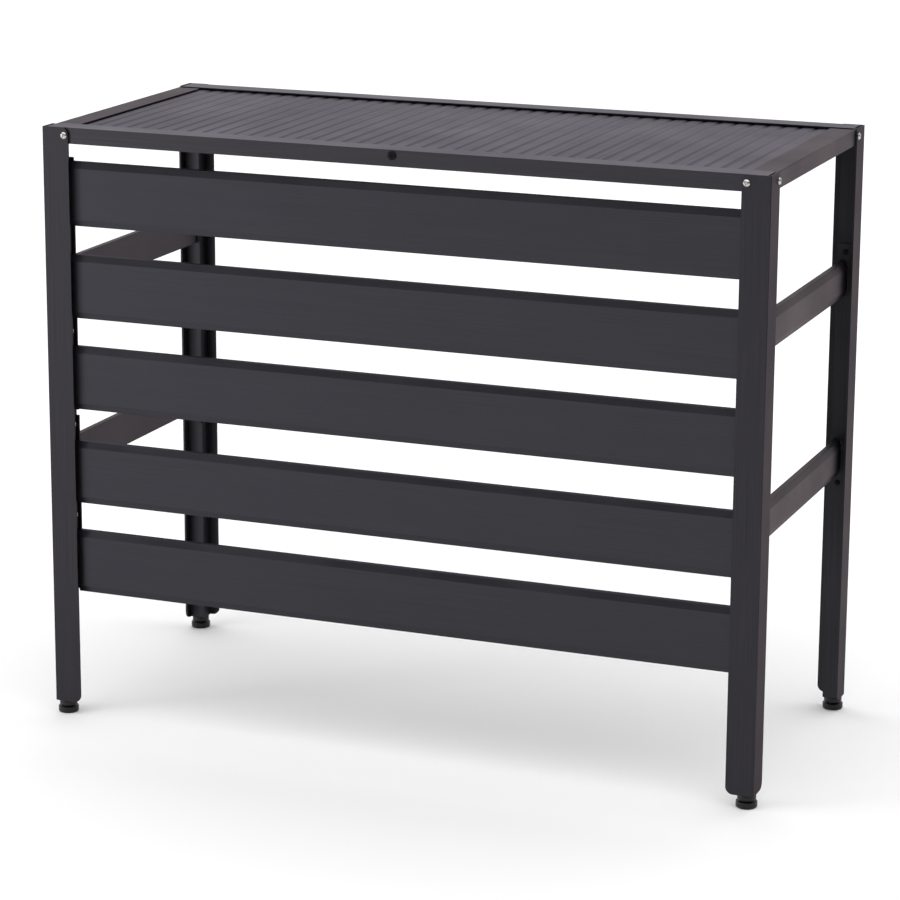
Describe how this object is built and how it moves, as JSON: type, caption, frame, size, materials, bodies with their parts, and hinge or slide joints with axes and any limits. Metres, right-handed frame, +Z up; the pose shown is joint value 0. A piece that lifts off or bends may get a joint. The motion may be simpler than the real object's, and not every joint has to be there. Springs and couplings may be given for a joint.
{
  "type": "slatted air conditioner cover stand",
  "caption": "Open-backed slatted aluminium stand that covers an outdoor air-conditioner unit, with a ribbed deck, louvered front, braced sides and levelling feet.",
  "frame": {"origin": "on the floor under the middle of the footprint, with the feet screwed fully in", "axes": "+X to the right along the louvered front, +Y to the open back, +Z up"},
  "size_m": [0.9056, 0.4056, 0.735],
  "materials": {
    "leg_coating": "dark charcoal matt coating",
    "rail_coating": "dark charcoal matt coating",
    "deck_coating": "dark charcoal matt coating",
    "slat_coating": "dark charcoal satin coating",
    "bracket_coating": "dark charcoal matt coating",
    "foot_plastic": "black moulded",
    "inner_plastic": "black moulded",
    "foot_stud": "black moulded",
    "stainless": "bright stainless",
    "plated_nut": "zinc plated",
    "black_screw": "black oxide"
  },
  "bodies": {
    "frame": {"bracket_screws": "stainless", "connector_screws": "black_screw", "corner_nuts": "plated_nut", "corner_screws": "stainless", "deck_board_1": "deck_coating", "deck_board_2": "deck_coating", "deck_board_3": "deck_coating", "deck_board_4": "deck_coating", "deck_board_5": "deck_coating", "deck_board_6": "deck_coating", "deck_board_7": "deck_coating", "deck_board_8": "deck_coating", "deck_board_9": "deck_coating", "deck_lock_screws": "black_screw", "foot_insert_front_left": "inner_plastic", "foot_insert_front_right": "inner_plastic", "foot_insert_rear_left": "inner_plastic", "foot_insert_rear_right": "inner_plastic", "leg_front_left": "leg_coating", "leg_front_right": "leg_coating", "leg_rear_left": "leg_coating", "leg_rear_right": "leg_coating", "louver_bracket_lower_left": "bracket_coating", "louver_bracket_lower_right": "bracket_coating", "louver_bracket_upper_left": "bracket_coating", "louver_bracket_upper_right": "bracket_coating", "louver_slat_1": "slat_coating", "louver_slat_2": "slat_coating", "louver_slat_3": "slat_coating", "louver_slat_4": "slat_coating", "louver_slat_5": "slat_coating", "rail_connectors_lower_left": "inner_plastic", "rail_connectors_lower_right": "inner_plastic", "rail_connectors_upper_left": "inner_plastic", "rail_connectors_upper_right": "inner_plastic", "side_rail_lower_left": "slat_coating", "side_rail_lower_right": "slat_coating", "side_rail_upper_left": "slat_coating", "side_rail_upper_right": "slat_coating", "slat_end_plugs": "inner_plastic", "slat_screws": "black_screw", "top_rail_front": "rail_coating", "top_rail_left": "rail_coating", "top_rail_rear": "rail_coating", "top_rail_right": "rail_coating"},
    "foot_pad_front_left": {"foot_pad_front_left": "foot_plastic"},
    "foot_stud_front_left": {"foot_stud_front_left": "foot_stud"},
    "foot_pad_front_right": {"foot_pad_front_right": "foot_plastic"},
    "foot_stud_front_right": {"foot_stud_front_right": "foot_stud"},
    "foot_pad_rear_left": {"foot_pad_rear_left": "foot_plastic"},
    "foot_stud_rear_left": {"foot_stud_rear_left": "foot_stud"},
    "foot_pad_rear_right": {"foot_pad_rear_right": "foot_plastic"},
    "foot_stud_rear_right": {"foot_stud_rear_right": "foot_stud"}
  },
  "joints": [
    {"name": "foot_pad_front_left_slide", "type": "slide", "parent": "frame", "child": "foot_pad_front_left", "axis": [0, 0, -1], "range_m": [0, 0.0121]},
    {"name": "foot_stud_front_left_turn", "type": "hinge", "parent": "foot_pad_front_left", "child": "foot_stud_front_left", "pos_m": [-0.43865, -0.18865, 0.012], "axis": [0, 0, -1], "range_deg": [0, 3456]},
    {"name": "foot_pad_front_right_slide", "type": "slide", "parent": "frame", "child": "foot_pad_front_right", "axis": [0, 0, -1], "range_m": [0, 0.0121]},
    {"name": "foot_stud_front_right_turn", "type": "hinge", "parent": "foot_pad_front_right", "child": "foot_stud_front_right", "pos_m": [0.43865, -0.18865, 0.012], "axis": [0, 0, -1], "range_deg": [0, 3456]},
    {"name": "foot_pad_rear_left_slide", "type": "slide", "parent": "frame", "child": "foot_pad_rear_left", "axis": [0, 0, -1], "range_m": [0, 0.0121]},
    {"name": "foot_stud_rear_left_turn", "type": "hinge", "parent": "foot_pad_rear_left", "child": "foot_stud_rear_left", "pos_m": [-0.43865, 0.18865, 0.012], "axis": [0, 0, -1], "range_deg": [0, 3456]},
    {"name": "foot_pad_rear_right_slide", "type": "slide", "parent": "frame", "child": "foot_pad_rear_right", "axis": [0, 0, -1], "range_m": [0, 0.0121]},
    {"name": "foot_stud_rear_right_turn", "type": "hinge", "parent": "foot_pad_rear_right", "child": "foot_stud_rear_right", "pos_m": [0.43865, 0.18865, 0.012], "axis": [0, 0, -1], "range_deg": [0, 3456]}
  ],
  "couplings": [
    {"joint": "foot_pad_front_left_slide", "follows": "foot_stud_front_left_turn", "m_per_rad": 0.00019894},
    {"joint": "foot_pad_front_right_slide", "follows": "foot_stud_front_right_turn", "m_per_rad": 0.00019894},
    {"joint": "foot_pad_rear_left_slide", "follows": "foot_stud_rear_left_turn", "m_per_rad": 0.00019894},
    {"joint": "foot_pad_rear_right_slide", "follows": "foot_stud_rear_right_turn", "m_per_rad": 0.00019894}
  ]
}
